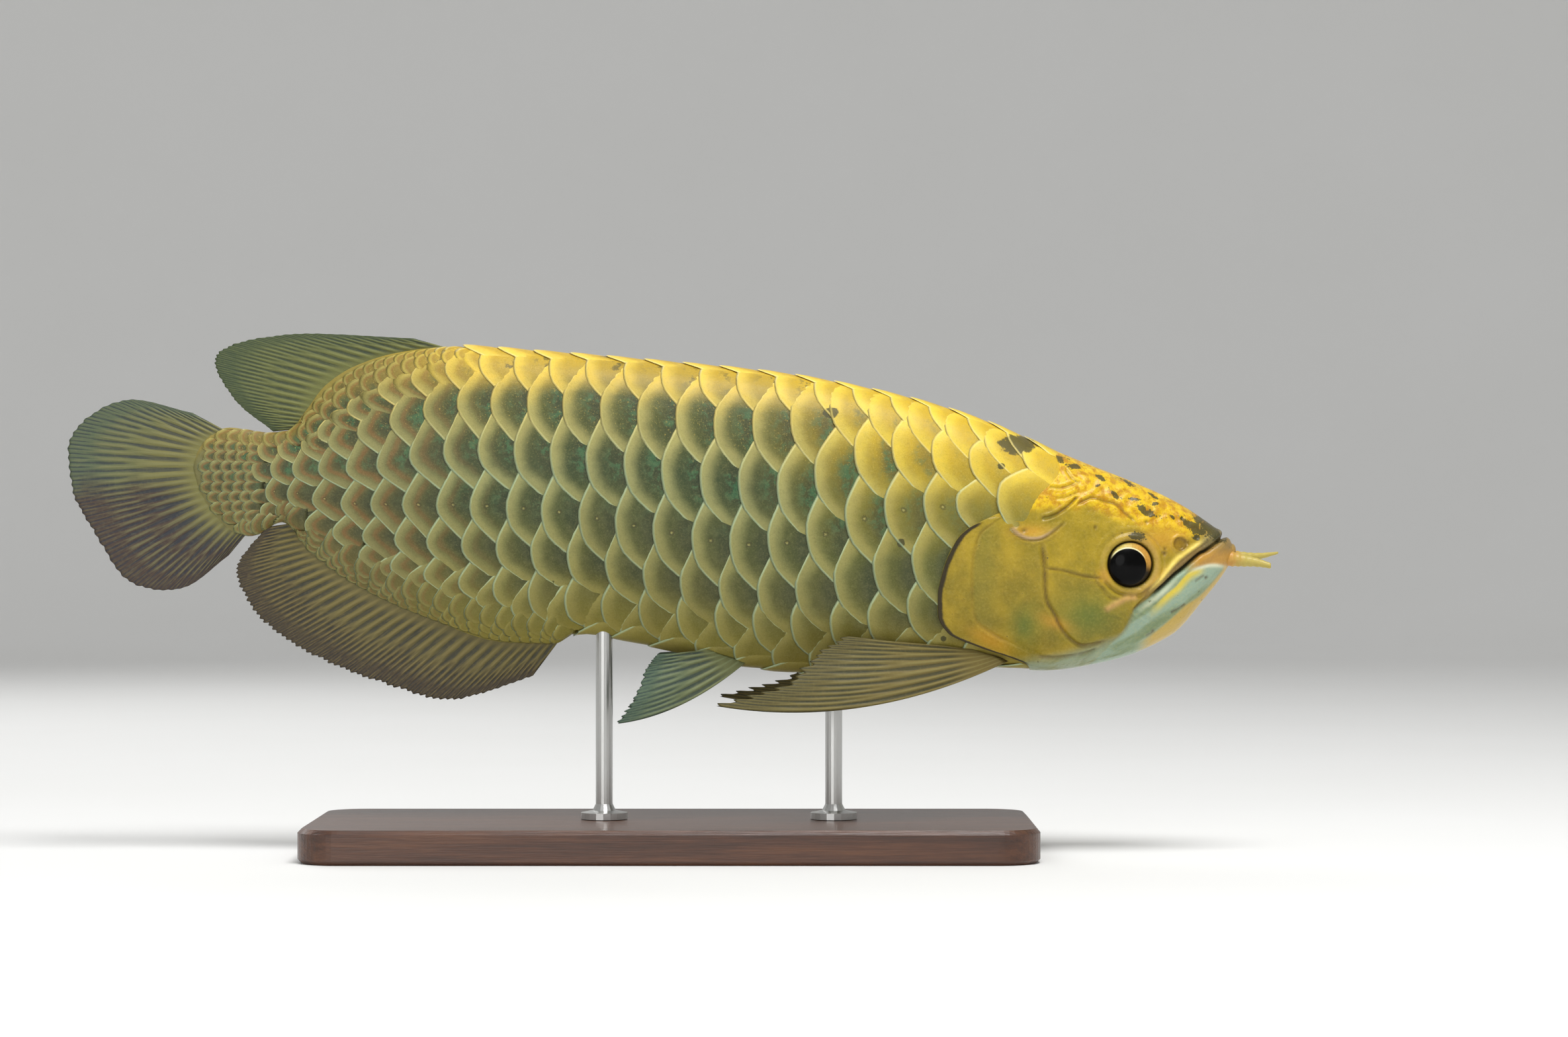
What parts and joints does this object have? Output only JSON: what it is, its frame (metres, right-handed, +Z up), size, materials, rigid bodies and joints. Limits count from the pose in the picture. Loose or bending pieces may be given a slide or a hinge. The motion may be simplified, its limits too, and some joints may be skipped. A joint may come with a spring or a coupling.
{
  "type": "asian arowana display model",
  "caption": "Life-size Asian arowana with large scales, upturned mouth and chin barbels, held by rods on a flat wooden display stand.",
  "frame": {"origin": "on the floor under the middle of the whole model, at the underside of the stand", "axes": "+X towards the snout, +Z up towards the back of the fish, -Y is the fish's right side"},
  "size_m": [0.5702, 0.15, 0.245],
  "materials": {
    "golden_head": "wet golden skin with olive gill covers",
    "pale_jaw": "wet pale skin, blue-white with a yellow lip",
    "scaled_flank": "pearly scales with pale olive-gold rims",
    "olive_fin": "ribbed fin skin, satin",
    "dusky_fin": "ribbed fin skin, satin",
    "amber_fin": "ribbed fin skin, satin",
    "teal_fin": "ribbed fin skin, satin",
    "black_eye": "polished, wet",
    "dark_wood": "dark stained and waxed",
    "rod_steel": "brushed along its length"
  },
  "bodies": {
    "root": {"head": "golden_head", "lower_jaw": "pale_jaw", "gill_cover_right": "golden_head", "gill_cover_left": "golden_head", "eye_right": "black_eye", "eye_left": "black_eye", "barbel_right": "pale_jaw", "barbel_left": "pale_jaw", "trunk_front": "scaled_flank", "trunk_rear": "scaled_flank", "tail_stalk": "scaled_flank", "dorsal_fin": "olive_fin", "anal_fin": "dusky_fin", "tail_fin": "dusky_fin", "pectoral_fin_right": "amber_fin", "pectoral_fin_left": "amber_fin", "pelvic_fin_right": "teal_fin", "pelvic_fin_left": "teal_fin", "stand_base": "dark_wood", "stand_rod_front": "rod_steel", "stand_rod_rear": "rod_steel"}
  },
  "joints": []
}
